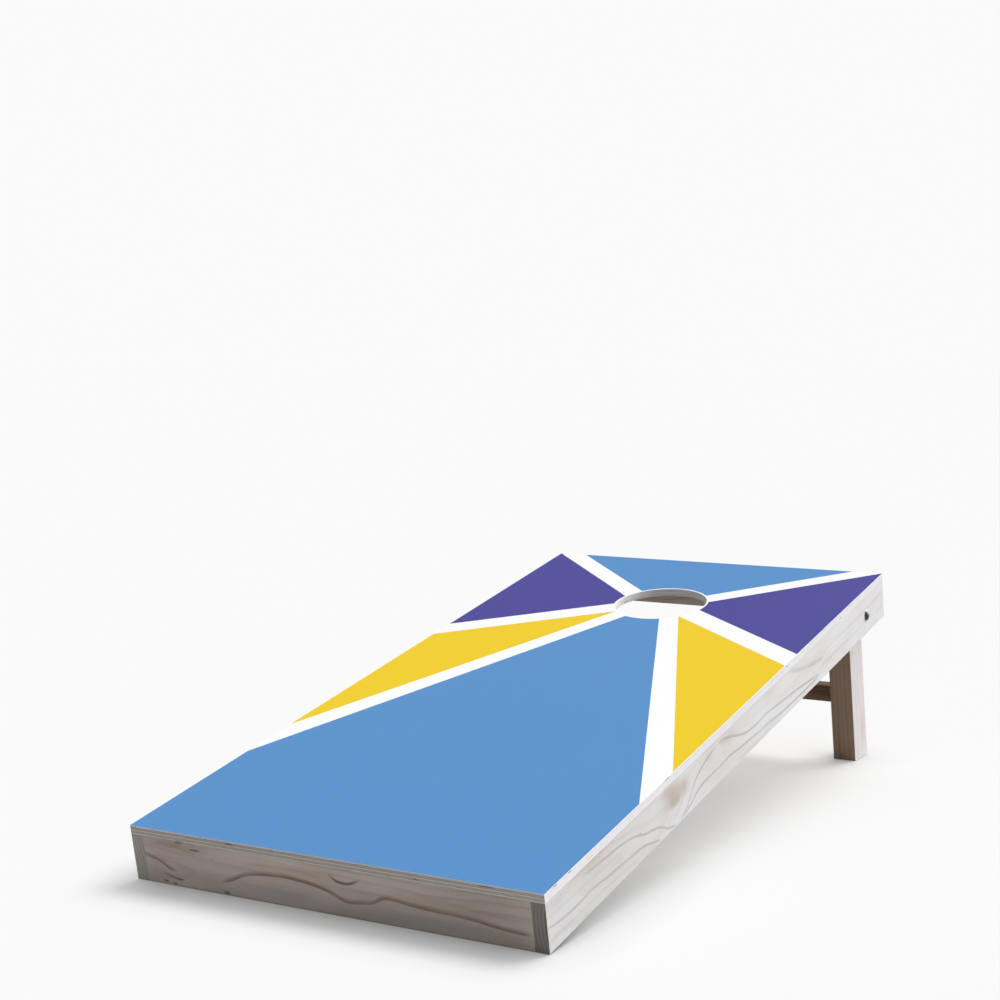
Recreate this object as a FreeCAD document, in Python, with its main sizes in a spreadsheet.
import FreeCAD, Part
import math
import os
from FreeCAD import Vector
import Sketcher

# Cornhole board, 24 x 48 in, on folding legs, in its playing position.
# Row frame: +X to the player's right, +Y from the front (low) end to the back
# (high) end, +Z up, origin on the floor under the middle of the bounding box.
# Every wooden piece is drawn in the board's own untilted frame (x across with 0
# in the middle, y from the front end, z up from the underside of the rails) and
# its Placement tilts it by the playing angle about the front bottom edge.

doc = FreeCAD.newDocument("cornhole_board")
sheet = doc.addObject("Spreadsheet::Sheet", "Dims")

# alias, value in mm unless the note says otherwise, note
DIMS = [
    # deck and frame
    ("half_wid", 304.8, "half of the board's width"),
    ("deck_len", 1219.2, "length of the board"),
    ("deck_thk", 12.0, "plywood deck"),
    ("wrap_thk", 0.3, "printed laminate on the deck"),
    ("rail_thk", 19.0, "1x3 frame boards, thickness"),
    ("rail_ht", 63.5, "1x3 frame boards, height"),
    ("tilt_deg", 11.2, "playing angle, degrees"),
    ("hole_rad", 76.2, "radius of the bag hole"),
    ("hole_back", 228.6, "hole centre to the back edge"),
    ("ease_rad", 1.0, "eased edges of the rails, bag hole and leg brace"),
    ("brace_mid", 609.6, "centre brace, middle plane from the front end"),
    # legs
    ("pivot_back", 88.9, "leg pivot to the back edge"),
    ("pivot_ht", 31.0, "leg pivot above the rails' underside"),
    ("leg_thk", 38.1, "2x3 leg, thickness across the board"),
    ("leg_wid", 60.3, "2x3 leg, width along the board"),
    ("leg_top", 32.3, "leg top above the pivot"),
    ("leg_ease", 1.5, "eased edges of the legs"),
    ("cross_drop", 141.4, "leg brace centre below the pivot"),
    ("cross_thk", 19.0, "leg brace, thickness"),
    ("cross_ht", 28.6, "leg brace, height"),
    # washers
    ("spacer_thk", 1.6, "washer between rail and leg"),
    ("spacer_rad", 8.73, "washer between rail and leg, outside radius"),
    ("spacer_bore", 4.35, "washer between rail and leg, bore radius"),
    ("washer_gap", 0.1, "running gap between leg and flat washer"),
    ("washer_thk", 2.0, "flat washer under the wing nut"),
    ("washer_rad", 11.1, "flat washer, outside radius"),
    ("washer_bore", 4.75, "flat washer, bore radius"),
    ("washer_ease", 0.15, "eased washer edges, as a share of the thickness"),
    # carriage bolt and its holes
    ("bolt_rad", 3.96875, "5/16 in bolt, shank radius"),
    ("bolt_len", 76.2, "3 in bolt, length under the head"),
    ("bolt_chamfer", 1.0, "chamfer on the bolt's end"),
    ("head_rad", 9.1, "dome head radius"),
    ("head_ht", 4.4, "dome head height"),
    ("dome_rim", 0.8, "straight rim under the dome"),
    ("neck_side", 7.9, "square neck, side"),
    ("neck_len", 4.8, "square neck, length"),
    ("rail_bore", 4.05, "bolt hole in the rail, radius"),
    ("neck_hole", 8.0, "square seat in the rail, side"),
    ("neck_deep", 5.0, "square seat in the rail, depth"),
    ("leg_bore", 4.03, "bolt hole in the leg, radius"),
    # wing nut
    ("nut_bore", 4.03, "wing nut bore, radius"),
    ("nut_ht", 9.5, "wing nut hub height"),
    ("nut_base", 7.4, "wing nut hub radius at its bearing face"),
    ("nut_crown", 5.9, "wing nut hub radius at its outer end"),
    ("wing_span", 17.3, "wing nut, axis to wing tip"),
    ("wing_ht", 17.5, "wing nut, bearing face to wing top"),
    ("wing_thk", 3.0, "wing nut, wing thickness"),
    ("nut_turn", 25.0, "wing nut at rest, turned from upright, degrees"),
    # pocket holes and screws
    ("jig_deg", 15.0, "pocket hole angle to the face, degrees"),
    ("jig_rad", 4.75, "pocket radius"),
    ("jig_back", 15.0, "screw head seat to the board's end, along the screw"),
    ("jig_run", 60.0, "length of the pocket cutter"),
    ("pilot_rad", 2.05, "pilot hole radius"),
    ("pilot_ratio", 1.6, "pilot hole length, as a multiple of jig_back"),
    ("thread_extra", 0.3, "screw hole beyond the screw's point"),
    ("screw_rad", 2.0, "screw shank radius"),
    ("screw_tip", 4.0, "length of the screw's point"),
    ("screw_head", 4.2, "screw head radius"),
    ("screw_cap", 1.9, "screw head height"),
    ("screw_drive", 2.6, "square drive recess, side"),
    ("drive_deep", 1.4, "square drive recess, depth"),
    ("short_len", 25.0, "deck screw, length under the head"),
    ("long_len", 31.75, "frame screw, length under the head"),
    ("side_first", 60.0, "first deck screw of a side rail from the front end"),
    ("side_step", 245.0, "deck screws of a side rail, spacing"),
    ("end_step", 190.0, "deck screws of the end rails, spacing"),
    ("mid_step", 240.0, "deck screws of the centre brace, spacing"),
    ("pair_low", 17.0, "lower frame screw above the rails' underside"),
    ("pair_step", 29.0, "frame screws, spacing"),
    ("cross_step", 12.0, "leg brace screws, spacing"),
    ("overrun", 1.0, "how far a cut runs past a face it opens"),
]
# deck screws in a side rail, an end rail and the centre brace
SIDE_COUNT = 5
END_COUNT = 3
MID_COUNT = 2

for row, (alias, size, note) in enumerate(DIMS, 1):
    sheet.set("A%d" % row, alias)
    sheet.set("B%d" % row, str(size))
    sheet.set("C%d" % row, note)
    sheet.setAlias("B%d" % row, alias)
doc.recompute()


# ---- expressions: #name stands for that cell of the sheet ----
def value(text):
    out = sheet.evalExpression(text.replace("#", ""))
    return float(getattr(out, "Value", out))


def bind(obj, prop, text):
    obj.setExpression(prop, text.replace("#", "Dims."))


def place_at(x, y, z, turns=()):
    """A placement expression: a point, then turns (axis, degrees) one after another."""
    out = "placement(vector(%s; %s; %s); rotation(vector(0; 0; 1); 0))" % (x, y, z)
    for turn in turns:
        out += " * placement(vector(0; 0; 0); rotation(vector(%s); %s))" % turn
    return out


AXIS_X, AXIS_Y, AXIS_Z = "1; 0; 0", "0; 1; 0", "0; 0; 1"
TILT = "(#tilt_deg * 1 deg)"
STACK = "(#rail_ht + #deck_thk + #wrap_thk)"
SHIFT = "(-(#deck_len * cos%s - %s * sin%s) / 2)" % (TILT, STACK, TILT)
# the tilted board frame, as a placement
BOARD = "placement(vector(0; %s; 0); rotation(vector(1; 0; 0); #tilt_deg))" % SHIFT

INNER = "(#half_wid - #rail_thk)"
LEG_IN = "(#half_wid - #rail_thk - #spacer_thk - #leg_thk)"
PIVOT_Y = "(#deck_len - #pivot_back)"
PIVOT_Z = "#pivot_ht"
LEG_FRONT = PIVOT_Y + " - #leg_wid / 2"
LEG_REAR = PIVOT_Y + " + #leg_wid / 2"
HOLE_Y = "(#deck_len - #hole_back)"
CROSS_Z = "(#pivot_ht - #cross_drop)"
# mid-thickness of the frame boards
SIDE_X = "#half_wid - #rail_thk / 2"
SIDE_X_LEFT = "-#half_wid + #rail_thk / 2"
FRONT_Y = "#rail_thk / 2"
MIDDLE_Y = "#brace_mid"
REAR_Y = "#deck_len - #rail_thk / 2"
# leftmost deck screw of the end rails and of the centre brace
END_FIRST = "-#end_step * %g" % ((END_COUNT - 1) / 2)
MID_FIRST = "-#mid_step * %g" % ((MID_COUNT - 1) / 2)
# boards butted between the side rails: name, middle y, side their screws lean to
JOINTS = (("front", FRONT_Y, -1), ("middle", MIDDLE_Y, -1), ("rear", REAR_Y, 1))
# heights of the two screws in each end of such a board, and in the leg brace's
PAIR_HEIGHTS = ("#pair_low + 0", "#pair_low + #pair_step")
CROSS_HEIGHTS = (CROSS_Z + " - #cross_step / 2", CROSS_Z + " + #cross_step / 2")

# every exported piece by name
parts = {}


# ---- bodies and sketches ----
def origin_item(body, role):
    return next(item for item in body.Origin.OriginFeatures if item.Role == role)


def new_body(name):
    body = doc.addObject("PartDesign::Body", name)
    body.Label = name
    return body


def finish(body, place=BOARD):
    """Places a body and lists it among the pieces."""
    bind(body, "Placement", place)
    parts[body.Label] = body
    return body


def mirror_of(name, source):
    """The piece's twin on the other side of the board's middle plane."""
    twin = doc.addObject("Part::Mirroring", name)
    twin.Label = name
    twin.Source = source
    twin.Base = Vector(0, 0, 0)
    twin.Normal = Vector(1, 0, 0)
    parts[name] = twin


def sketch_on(body, name, role, lift=None):
    sketch = body.newObject("Sketcher::SketchObject", name)
    sketch.AttachmentSupport = (origin_item(body, role), [""])
    sketch.MapMode = "FlatFace"
    if lift is not None:
        bind(sketch, "AttachmentOffset.Base.z", lift)
    return sketch


# point numbers of a sketch element, and the sketch's origin as element and point
START, END, CENTRE = 1, 2, 3
ORIGIN = (-1, 1)


def drive(sketch, text, kind, *where):
    """Adds a dimension that follows an expression."""
    index = sketch.addConstraint(Sketcher.Constraint(kind, *where, value(text)))
    bind(sketch, "Constraints[%d]" % index, text)


def join(sketch, *points):
    sketch.addConstraint(Sketcher.Constraint("Coincident", *points))


def locate(sketch, element, point, across, up):
    """Holds one point of a sketch at the coordinates two expressions give."""
    drive(sketch, across, "DistanceX", *ORIGIN, element, point)
    drive(sketch, up, "DistanceY", *ORIGIN, element, point)


def outline(sketch, points):
    """A closed polygon whose corners are pairs of expressions."""
    corners = [Vector(value(across), value(up), 0) for across, up in points]
    count = len(corners)
    lines = [
        sketch.addGeometry(Part.LineSegment(corners[i], corners[(i + 1) % count]), False)
        for i in range(count)
    ]
    for i in range(count):
        join(sketch, lines[i], END, lines[(i + 1) % count], START)
    for line, (across, up) in zip(lines, points):
        locate(sketch, line, START, across, up)


def ring(sketch, across, up, radius):
    middle = Vector(value(across), value(up), 0)
    circle = sketch.addGeometry(
        Part.Circle(middle, Vector(0, 0, 1), value(radius)), False
    )
    drive(sketch, radius, "Radius", circle)
    if middle.x == 0 and middle.y == 0:
        join(sketch, circle, CENTRE, *ORIGIN)
    else:
        locate(sketch, circle, CENTRE, across, up)


def box(left, right, low, high):
    return [(left, low), (right, low), (right, high), (left, high)]


def box_about(across, up, width, height):
    return box(
        "%s - %s / 2" % (across, width),
        "%s + %s / 2" % (across, width),
        "%s - %s / 2" % (up, height),
        "%s + %s / 2" % (up, height),
    )


# ---- features ----
def volume(body):
    return 0.0 if body.Shape.isNull() else body.Shape.Volume


def settle(body, feature, sign):
    """Recomputes, and returns the volume a feature adds (sign 1) or cuts (sign -1)."""
    before = volume(body)
    doc.recompute()
    change = sign * (volume(body) - before)
    if not change > 1:
        raise RuntimeError("%s changes nothing" % feature.Name)
    return change


def pad(body, name, sketch, length, back=False, middle=False):
    feature = body.newObject("PartDesign::Pad", name)
    feature.Profile = sketch
    bind(feature, "Length", length)
    feature.Reversed = back
    if middle:
        feature.Midplane = True
    settle(body, feature, 1)


def pocket(body, name, sketch, length):
    """A cut from the sketch along its normal."""
    feature = body.newObject("PartDesign::Pocket", name)
    feature.Profile = sketch
    bind(feature, "Length", length)
    feature.Reversed = True
    settle(body, feature, -1)


def revolve(body, name, sketch):
    """A full turn about the sketch's vertical axis."""
    feature = body.newObject("PartDesign::Revolution", name)
    feature.Profile = sketch
    feature.ReferenceAxis = (sketch, ["V_Axis"])
    feature.Angle = 360
    settle(body, feature, 1)


# the volume each cutter took away, against which its repeats are compared
taken = {}


def cutter(body, name, radius, length, place):
    """A round cutter along its own z, placed in the body's frame."""
    feature = body.newObject("PartDesign::SubtractiveCylinder", name)
    bind(feature, "Radius", radius)
    bind(feature, "Height", length)
    bind(feature, "Placement", place)
    taken[feature.Name] = settle(body, feature, -1)
    return feature


def repeated(body, feature, original, times):
    """Makes a pattern count, and checks that every repeat cut as much."""
    body.Tip = feature
    cut = settle(body, feature, -1)
    wanted = taken[original.Name] * times
    if abs(cut - wanted) > 0.01 * wanted:
        raise RuntimeError("%s cuts %.1f, not %.1f" % (feature.Name, cut, wanted))


def row_of(role, step, count):
    """Repeats a cut along one axis of the body, straight after it is made."""

    def repeat(body, original):
        feature = body.newObject("PartDesign::LinearPattern", original.Name + "_row")
        feature.Originals = [original]
        feature.Direction = (origin_item(body, role), [""])
        bind(feature, "Length", "%s * %d" % (step, count - 1))
        feature.Occurrences = count
        repeated(body, feature, original, count - 1)

    return repeat


def both_sides(body, original):
    """Repeats a cut on the other side of the board's middle plane."""
    feature = body.newObject("PartDesign::Mirrored", original.Name + "_twin")
    feature.Originals = [original]
    feature.MirrorPlane = (origin_item(body, "YZ_Plane"), [""])
    repeated(body, feature, original, 1)


def ease(body, name, size, wanted, chamfer=False):
    """Rounds, or chamfers, the edges of a body that a test picks."""
    names = [
        "Edge%d" % i for i, edge in enumerate(body.Shape.Edges, 1) if wanted(edge)
    ]
    if not names:
        raise RuntimeError("%s finds no edge" % name)
    base = body.Tip
    kind = "PartDesign::Chamfer" if chamfer else "PartDesign::Fillet"
    feature = body.newObject(kind, name)
    feature.Base = (base, names)
    bind(feature, "Size" if chamfer else "Radius", size)
    doc.recompute()


# ---- edge tests, in the body's frame ----
def near(a, b):
    return abs(a - b) < 1e-4


def lies_at(edge, axis, level):
    """Whether both ends of an edge have this coordinate."""
    return all(near(getattr(vertex.Point, axis), level) for vertex in edge.Vertexes)


def spans(edge, axis):
    """Whether the ends of an edge differ in a coordinate."""
    first, last = edge.Vertexes[0].Point, edge.Vertexes[-1].Point
    return not near(getattr(first, axis), getattr(last, axis))


def is_circle(edge):
    return edge.Curve.TypeId == "Part::GeomCircle"


def is_upright(edge):
    straight = edge.Curve.TypeId == "Part::GeomLine"
    return straight and not spans(edge, "x") and not spans(edge, "y")


# ---- pocket screws. A screw's frame has its origin under the head, where the head
# seats, and its z along the screw. A screw starts jig_back before the point where
# it leaves the end of its own board, which is at mid-thickness. ----
BACK_SIN = "#jig_back * sin(#jig_deg * 1 deg)"
BACK_COS = "#jig_back * cos(#jig_deg * 1 deg)"
RUN_BACK = " * placement(vector(0; 0; -#jig_run); rotation(vector(0; 0; 1); 0))"


def seat_up(x, y, toward):
    """A screw going up into the deck out of a frame board; toward is the side it
    leans to: +x, -x, +y or -y."""
    z = "#rail_ht - %s" % BACK_COS
    plus = toward[0] == "+"
    step_back = (" - " if plus else " + ") + BACK_SIN
    if toward[1] == "x":
        turn = "#jig_deg" if plus else "-#jig_deg"
        return place_at(x + step_back, y, z, [(AXIS_Y, turn)])
    turn = "-#jig_deg" if plus else "#jig_deg"
    return place_at(x, y + step_back, z, [(AXIS_X, turn)])


def seat_out(x, y, z, side, lean):
    """A screw going out through a board's end; side is +1 at the right end and -1 at
    the left, lean is +1 when it leans to +y and -1 when it leans to -y."""
    turn = "#jig_deg" if side * lean > 0 else "-#jig_deg"
    return place_at(
        "%s %s %s" % (x, "-" if side > 0 else "+", BACK_COS),
        "%s %s %s" % (y, "-" if lean > 0 else "+", BACK_SIN),
        z,
        [(AXIS_Z, turn), (AXIS_Y, "90" if side > 0 else "-90")],
    )


def pocket_and_pilot(body, name, seat, repeat):
    """The angled pocket with its flat seat, and the pilot hole ahead of it."""
    cut = cutter(body, name + "_pocket", "#jig_rad", "#jig_run", seat + RUN_BACK)
    repeat(body, cut)
    cut = cutter(body, name + "_pilot", "#pilot_rad", "#jig_back * #pilot_ratio", seat)
    repeat(body, cut)


def thread_hole(body, name, seat, length, repeat):
    """Where a screw bites into the board it holds."""
    cut = cutter(body, name, "#pilot_rad", length + " + #thread_extra", seat)
    repeat(body, cut)


# ---- side rails: full length, their end grain shows at the board's ends ----
def side_rail():
    body = new_body("side_rail_right")
    sketch = sketch_on(body, "rail_section", "XZ_Plane")
    outline(sketch, box(INNER, "#half_wid", "0", "#rail_ht"))
    pad(body, "rail_pad", sketch, "#deck_len", back=True)
    ease(
        body,
        "rail_eased",
        "#ease_rad",
        lambda edge: lies_at(edge, "z", 0) and spans(edge, "y"),
    )
    sketch = sketch_on(body, "bolt_bore_sketch", "YZ_Plane", INNER + " - #overrun")
    ring(sketch, PIVOT_Y, PIVOT_Z, "#rail_bore")
    pocket(body, "bolt_bore", sketch, "#rail_thk + 2 * #overrun")
    sketch = sketch_on(body, "neck_seat_sketch", "YZ_Plane", "#half_wid - #neck_deep")
    outline(sketch, box_about(PIVOT_Y, PIVOT_Z, "#neck_hole", "#neck_hole"))
    pocket(body, "neck_seat", sketch, "#neck_deep + #overrun")
    pocket_and_pilot(
        body,
        "deck_screw",
        seat_up(SIDE_X, "#side_first", "+x"),
        row_of("Y_Axis", "#side_step", SIDE_COUNT),
    )
    for name, y, lean in JOINTS:
        thread_hole(
            body,
            name + "_screw",
            seat_out(INNER, y, "#pair_low", 1, lean),
            "#long_len",
            row_of("Z_Axis", "#pair_step", 2),
        )
    return finish(body)


# ---- end rails and centre brace: butted between the side rails ----
def cross_rail(name, joint, first, step, count):
    _, middle, lean = joint
    body = new_body(name)
    sketch = sketch_on(body, name + "_section", "YZ_Plane")
    outline(
        sketch,
        box(middle + " - #rail_thk / 2", middle + " + #rail_thk / 2", "0", "#rail_ht"),
    )
    pad(body, name + "_pad", sketch, "2 * " + INNER, middle=True)
    ease(
        body,
        name + "_eased",
        "#ease_rad",
        lambda edge: lies_at(edge, "z", 0) and spans(edge, "x"),
    )
    pocket_and_pilot(
        body,
        name + "_deck",
        seat_up(first, middle, "+y" if lean > 0 else "-y"),
        row_of("X_Axis", step, count),
    )
    for i, z in enumerate(PAIR_HEIGHTS):
        seat = seat_out(INNER, middle, z, 1, lean)
        pocket_and_pilot(body, "%s_end%d" % (name, i), seat, both_sides)
    finish(body)


# ---- deck: plywood with the bag hole, screwed from below ----
def deck_panel():
    body = new_body("deck_panel")
    sketch = sketch_on(body, "deck_outline", "XY_Plane", "#rail_ht")
    outline(sketch, box("-#half_wid", "#half_wid", "0", "#deck_len"))
    pad(body, "deck_pad", sketch, "#deck_thk")
    sketch = sketch_on(body, "hole_outline", "XY_Plane", "#rail_ht - #overrun")
    ring(sketch, "0", HOLE_Y, "#hole_rad")
    pocket(body, "bag_hole", sketch, "#deck_thk + 2 * #overrun")
    # the hole's lower edge
    underside = value("#rail_ht")
    ease(
        body,
        "hole_eased",
        "#ease_rad",
        lambda edge: is_circle(edge) and near(edge.BoundBox.ZMin, underside),
    )
    along_side = row_of("Y_Axis", "#side_step", SIDE_COUNT)
    along_end = row_of("X_Axis", "#end_step", END_COUNT)
    along_middle = row_of("X_Axis", "#mid_step", MID_COUNT)
    for name, x, y, toward, repeat in (
        ("right_hole", SIDE_X, "#side_first", "+x", along_side),
        ("left_hole", SIDE_X_LEFT, "#side_first", "-x", along_side),
        ("front_hole", END_FIRST, FRONT_Y, "-y", along_end),
        ("rear_hole", END_FIRST, REAR_Y, "+y", along_end),
        ("middle_hole", MID_FIRST, MIDDLE_Y, "-y", along_middle),
    ):
        thread_hole(body, name, seat_up(x, y, toward), "#short_len", repeat)
    finish(body)


# ---- printed laminate on the deck, cut out at the bag hole ----
def deck_wrap():
    body = new_body("deck_wrap")
    sketch = sketch_on(body, "wrap_outline", "XY_Plane", "#rail_ht + #deck_thk")
    outline(sketch, box("-#half_wid", "#half_wid", "0", "#deck_len"))
    ring(sketch, "0", HOLE_Y, "#hole_rad")
    pad(body, "wrap_pad", sketch, "#wrap_thk")
    finish(body)


# ---- legs: square to the deck, feet cut level with the floor. The front top
# corner is rounded so that the leg swings past the deck, and the rear top corner
# stays square and stops the leg at its working angle. ----
def right_leg():
    body = new_body("leg_right")
    sketch = sketch_on(body, "leg_side", "YZ_Plane", LEG_IN)
    top = PIVOT_Z + " + #leg_top"
    outline(
        sketch,
        [
            (LEG_FRONT, "-(%s) * tan%s" % (LEG_FRONT, TILT)),
            (LEG_REAR, "-(%s) * tan%s" % (LEG_REAR, TILT)),
            (LEG_REAR, top),
            (LEG_FRONT, top),
        ],
    )
    pad(body, "leg_pad", sketch, "#leg_thk")
    top_z = value(top)
    front_y = value(LEG_FRONT)
    ease(
        body,
        "leg_swing",
        "#leg_wid / 2",
        lambda edge: lies_at(edge, "z", top_z) and lies_at(edge, "y", front_y),
    )
    ease(body, "leg_eased", "#leg_ease", is_upright)
    sketch = sketch_on(body, "leg_bore_sketch", "YZ_Plane", LEG_IN + " - #overrun")
    ring(sketch, PIVOT_Y, PIVOT_Z, "#leg_bore")
    pocket(body, "leg_bore_cut", sketch, "#leg_thk + 2 * #overrun")
    thread_hole(
        body,
        "brace_screw_hole",
        seat_out(LEG_IN, PIVOT_Y, CROSS_HEIGHTS[0], 1, -1),
        "#long_len",
        row_of("Z_Axis", "#cross_step", 2),
    )
    return finish(body)


# ---- brace between the legs ----
def leg_brace():
    body = new_body("leg_brace")
    sketch = sketch_on(body, "cross_section", "YZ_Plane")
    outline(sketch, box_about(PIVOT_Y, CROSS_Z, "#cross_thk", "#cross_ht"))
    pad(body, "cross_pad", sketch, "2 * " + LEG_IN, middle=True)
    ease(body, "cross_eased", "#ease_rad", lambda edge: spans(edge, "x"))
    for i, z in enumerate(CROSS_HEIGHTS):
        seat = seat_out(LEG_IN, PIVOT_Y, z, 1, -1)
        pocket_and_pilot(body, "cross_end%d" % i, seat, both_sides)
    finish(body)


# ---- hardware on the leg pivots. A bolt's frame starts under its head, with z
# along the shank towards the middle of the board. side is +1 for the right pivot
# and -1 for the left, tag is its name. ----
WASHER_DEPTH = "#rail_thk + #spacer_thk + #leg_thk + #washer_gap"
NUT_DEPTH = WASHER_DEPTH + " + #washer_thk"


def on_pivot(depth, side, turn="0"):
    """The board's placement, then a point depth inside the board's side face."""
    x = "#half_wid - (%s)" % depth if side > 0 else "-#half_wid + (%s)" % depth
    turns = [(AXIS_Y, "-90" if side > 0 else "90"), (AXIS_Z, turn)]
    return BOARD + " * " + place_at(x, PIVOT_Y, PIVOT_Z, turns)


def draw_dome(sketch):
    """Half of the bolt head: a spherical cap on a short rim."""
    cap = "(#head_ht - #dome_rim)"
    ball = "((#head_rad^2 + %s^2) / (2 * %s))" % (cap, cap)
    inside = Vector(0, 0, 0)
    outside = Vector(value("#head_rad"), 0, 0)
    rim = Vector(value("#head_rad"), -value("#dome_rim"), 0)
    crown = Vector(0, -value("#head_ht"), 0)
    middle = Vector(0, value("(-#head_ht + %s)" % ball), 0)
    first, last = (
        math.atan2(point.y - middle.y, point.x - middle.x) for point in (crown, rim)
    )
    circle = Part.Circle(middle, Vector(0, 0, 1), value(ball))
    flat, side, arc, axis = (
        sketch.addGeometry(curve, False)
        for curve in (
            Part.LineSegment(inside, outside),
            Part.LineSegment(outside, rim),
            Part.ArcOfCircle(circle, first, last),
            Part.LineSegment(crown, inside),
        )
    )
    join(sketch, flat, END, side, START)
    join(sketch, side, END, arc, END)
    join(sketch, arc, START, axis, START)
    join(sketch, axis, END, flat, START)
    join(sketch, flat, START, *ORIGIN)
    locate(sketch, flat, END, "#head_rad", "0")
    locate(sketch, side, END, "#head_rad", "-#dome_rim")
    locate(sketch, axis, START, "0", "-#head_ht")
    drive(sketch, ball, "Radius", arc)


def pivot_bolt(tag, side):
    """Carriage bolt: domed head, square neck, round shank with a chamfered end."""
    body = new_body("pivot_bolt_" + tag)
    sketch = sketch_on(body, "shank_ring_" + tag, "XY_Plane")
    ring(sketch, "0", "0", "#bolt_rad")
    pad(body, "shank_" + tag, sketch, "#bolt_len")
    end_z = value("#bolt_len")
    ease(
        body,
        "shank_end_" + tag,
        "#bolt_chamfer",
        lambda edge: is_circle(edge) and near(edge.BoundBox.ZMin, end_z),
        chamfer=True,
    )
    sketch = sketch_on(body, "neck_square_" + tag, "XY_Plane")
    outline(sketch, box_about("0", "0", "#neck_side", "#neck_side"))
    pad(body, "neck_" + tag, sketch, "#neck_len")
    sketch = sketch_on(body, "dome_half_" + tag, "XZ_Plane")
    draw_dome(sketch)
    revolve(body, "dome_" + tag, sketch)
    finish(body, on_pivot("0", side))


def washer(name, kind, depth, side):
    """A washer whose sizes are the kind's _rad, _bore and _thk."""
    outer, inner, thick = ("#%s_%s" % (kind, size) for size in ("rad", "bore", "thk"))
    body = new_body(name)
    sketch = sketch_on(body, name + "_ring", "XY_Plane")
    ring(sketch, "0", "0", outer)
    ring(sketch, "0", "0", inner)
    pad(body, name + "_pad", sketch, thick)
    outer_radius = value(outer)
    ease(
        body,
        name + "_eased",
        thick + " * #washer_ease",
        lambda edge: is_circle(edge) and near(edge.Curve.Radius, outer_radius),
    )
    finish(body, on_pivot(depth, side))


# outline of one wing: distance from the nut's axis, height above the bearing face
WING = [
    ("5.6", "1.2"),
    ("9.6", "3.6"),
    ("14.4", "6.6"),
    ("#wing_span", "11.6"),
    ("(#wing_span - 0.4)", "#wing_ht - 1.4"),
    ("(#wing_span - 2.6)", "#wing_ht"),
    ("(#wing_span - 6.0)", "#wing_ht - 0.6"),
    ("9.2", "#nut_ht + 1.2"),
    ("5.6", "#nut_ht - 1.0"),
]


def wing_nut(tag, side):
    """A tapered hub with two raised wings."""
    body = new_body("wing_nut_" + tag)
    sketch = sketch_on(body, "hub_half_" + tag, "XZ_Plane")
    outline(
        sketch,
        [
            ("#nut_bore", "0"),
            ("#nut_base", "0"),
            ("#nut_crown", "#nut_ht"),
            ("#nut_bore", "#nut_ht"),
        ],
    )
    revolve(body, "hub_" + tag, sketch)
    for way, sign in (("a", ""), ("b", "-")):
        sketch = sketch_on(body, "wing_side_%s_%s" % (way, tag), "XZ_Plane")
        outline(sketch, [(sign + across, up) for across, up in WING])
        pad(body, "wing_%s_%s" % (way, tag), sketch, "#wing_thk", middle=True)
    turn = "#nut_turn" if side > 0 else "-#nut_turn"
    finish(body, on_pivot(NUT_DEPTH, side, turn))


# ---- screws: one master of each length, linked into place ----
def screw_master(name, length):
    body = new_body(name)
    sketch = sketch_on(body, name + "_half", "XZ_Plane")
    outline(
        sketch,
        [
            ("0", "-#screw_cap"),
            ("#screw_head * 0.72", "-#screw_cap"),
            ("#screw_head", "-#screw_cap * 0.45"),
            ("#screw_head", "0"),
            ("#screw_rad", "0"),
            ("#screw_rad", length + " - #screw_tip"),
            ("0", length),
        ],
    )
    revolve(body, name + "_turned", sketch)
    sketch = sketch_on(body, name + "_drive", "XY_Plane", "-#screw_cap")
    outline(sketch, box_about("0", "0", "#screw_drive", "#screw_drive"))
    pocket(body, name + "_recess", sketch, "#drive_deep")
    return body


def screw_group(name, master, seats):
    links = []
    for i, seat in enumerate(seats, 1):
        link = doc.addObject("App::Link", "%s_%02d" % (name, i))
        link.LinkedObject = master
        link.LinkTransform = False
        bind(link, "Placement", BOARD + " * " + seat)
        links.append(link)
    group = doc.addObject("Part::Compound", name)
    group.Label = name
    group.Links = links
    parts[name] = group


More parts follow.
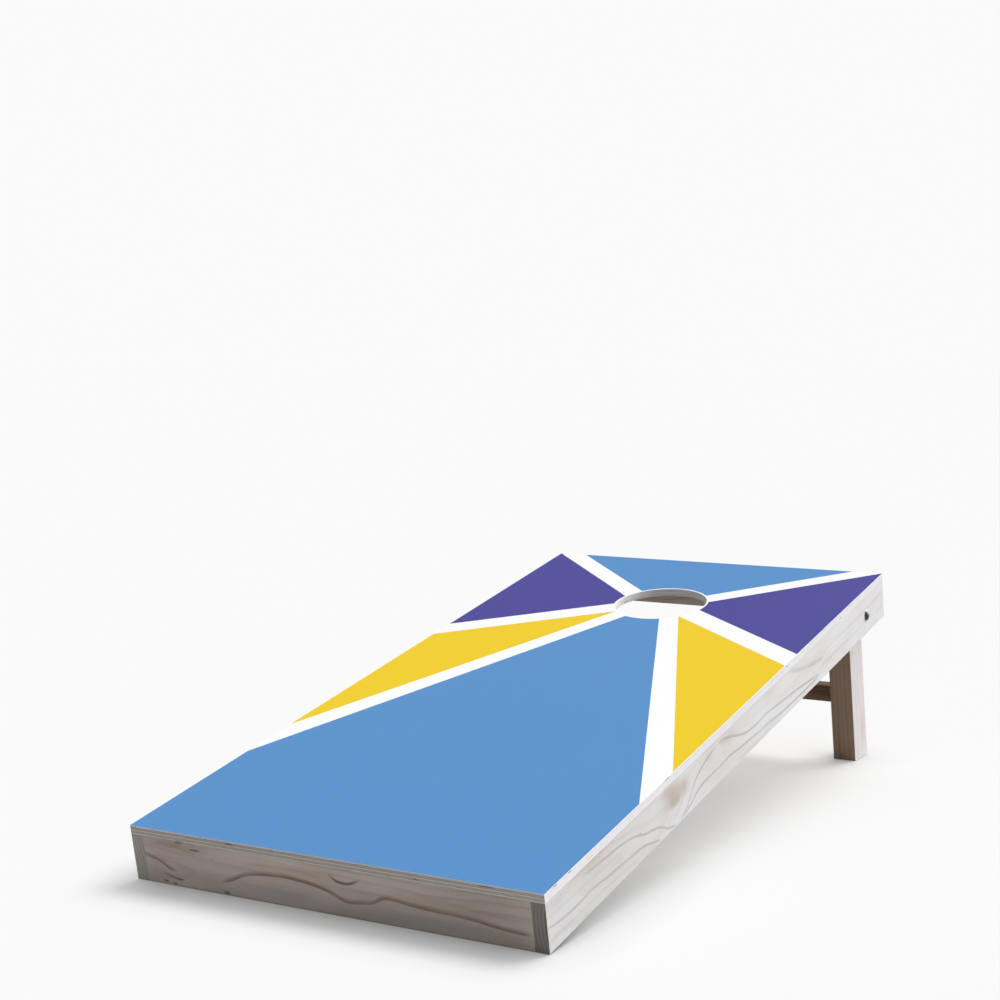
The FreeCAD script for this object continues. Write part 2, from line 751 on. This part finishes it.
def deck_seats():
    seats = []
    for i in range(SIDE_COUNT):
        y = "#side_first + #side_step * %d" % i
        seats.append(seat_up(SIDE_X, y, "+x"))
        seats.append(seat_up(SIDE_X_LEFT, y, "-x"))
    for i in range(END_COUNT):
        x = END_FIRST + " + #end_step * %d" % i
        seats.append(seat_up(x, FRONT_Y, "-y"))
        seats.append(seat_up(x, REAR_Y, "+y"))
    for i in range(MID_COUNT):
        x = MID_FIRST + " + #mid_step * %d" % i
        seats.append(seat_up(x, MIDDLE_Y, "-y"))
    return seats


def end_seats(x, y, heights, lean):
    """The screws at both ends of a board that reaches from -x to x."""
    return [
        seat_out(sign + x, y, z, side, lean)
        for z in heights
        for sign, side in (("", 1), ("-", -1))
    ]


# ---- the pieces ----
mirror_of("side_rail_left", side_rail())
cross_rail("front_rail", JOINTS[0], END_FIRST, "#end_step", END_COUNT)
cross_rail("rear_rail", JOINTS[2], END_FIRST, "#end_step", END_COUNT)
cross_rail("center_brace", JOINTS[1], MID_FIRST, "#mid_step", MID_COUNT)
deck_panel()
deck_wrap()
mirror_of("leg_left", right_leg())
leg_brace()
for tag, side in (("right", 1), ("left", -1)):
    pivot_bolt(tag, side)
    washer("spacer_washer_" + tag, "spacer", "#rail_thk", side)
    washer("flat_washer_" + tag, "washer", WASHER_DEPTH, side)
    wing_nut(tag, side)

short_screw = screw_master("short_screw", "#short_len")
long_screw = screw_master("long_screw", "#long_len")
screw_group("deck_pocket_screws", short_screw, deck_seats())
frame_seats = []
for _, y, lean in JOINTS:
    frame_seats += end_seats(INNER, y, PAIR_HEIGHTS, lean)
screw_group("frame_pocket_screws", long_screw, frame_seats)
brace_seats = end_seats(LEG_IN, PIVOT_Y, CROSS_HEIGHTS, -1)
screw_group("leg_brace_screws", long_screw, brace_seats)
doc.recompute()

# ---- checks, then one file per piece ----
bad = [
    "%s: %s" % (obj.Name, ", ".join(obj.State))
    for obj in doc.Objects
    if "Invalid" in obj.State or "Error" in obj.State
]
for name, obj in parts.items():
    if obj.Shape.isNull() or not obj.Shape.isValid() or not obj.Shape.Solids:
        bad.append("%s has no valid solid" % name)
if bad:
    raise RuntimeError("\n".join(bad))

os.makedirs("parts", exist_ok=True)
for name, obj in parts.items():
    obj.Shape.exportStep(os.path.join("parts", name + ".step"))
